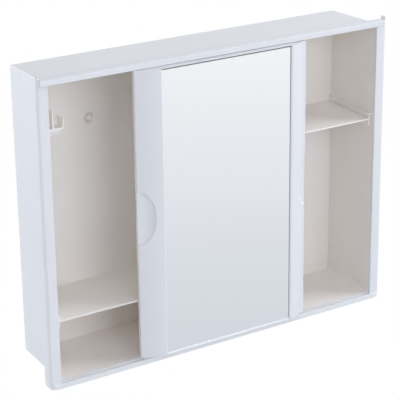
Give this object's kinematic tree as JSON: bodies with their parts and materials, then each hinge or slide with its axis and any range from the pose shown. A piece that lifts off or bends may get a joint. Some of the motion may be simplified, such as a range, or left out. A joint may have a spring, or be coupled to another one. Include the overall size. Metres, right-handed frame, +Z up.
{
  "type": "medicine cabinet",
  "caption": "Wall-hung white plastic medicine cabinet with a sliding mirror door between track rails, sloping half shelves at two heights and an open flanged front.",
  "frame": {"origin": "middle of the two wall screw holes, on the wall plane", "axes": "+X along the width, +Y into the wall, +Z up; the mirror faces -Y"},
  "size_m": [0.52, 0.1096, 0.4038],
  "materials": {
    "case_plastic": "satin moulded white polystyrene",
    "front_plastic": "satin moulded white polystyrene",
    "shelf_plastic": "satin moulded white polystyrene",
    "door_plastic": "satin moulded white polystyrene",
    "mirror": "silvered float glass",
    "foam": "closed-cell foam tape"
  },
  "bodies": {
    "cabinet": {"case_shell": "case_plastic", "left_side_flange": "front_plastic", "right_side_flange": "front_plastic", "bottom_track_rail": "front_plastic", "top_track_rail": "front_plastic", "centre_divider": "case_plastic", "left_shelf": "shelf_plastic", "right_shelf": "shelf_plastic", "left_shelf_wall_rail": "case_plastic", "left_shelf_divider_rail": "case_plastic", "right_shelf_wall_rail": "case_plastic", "right_shelf_divider_rail": "case_plastic", "utility_hook": "case_plastic"},
    "door": {"door_frame": "door_plastic", "mirror_glass": "mirror", "mirror_pads": "foam"}
  },
  "joints": [
    {"name": "door_slide", "type": "slide", "parent": "cabinet", "child": "door", "axis": [1, 0, 0], "range_m": [-0.1155, 0.1155]}
  ]
}
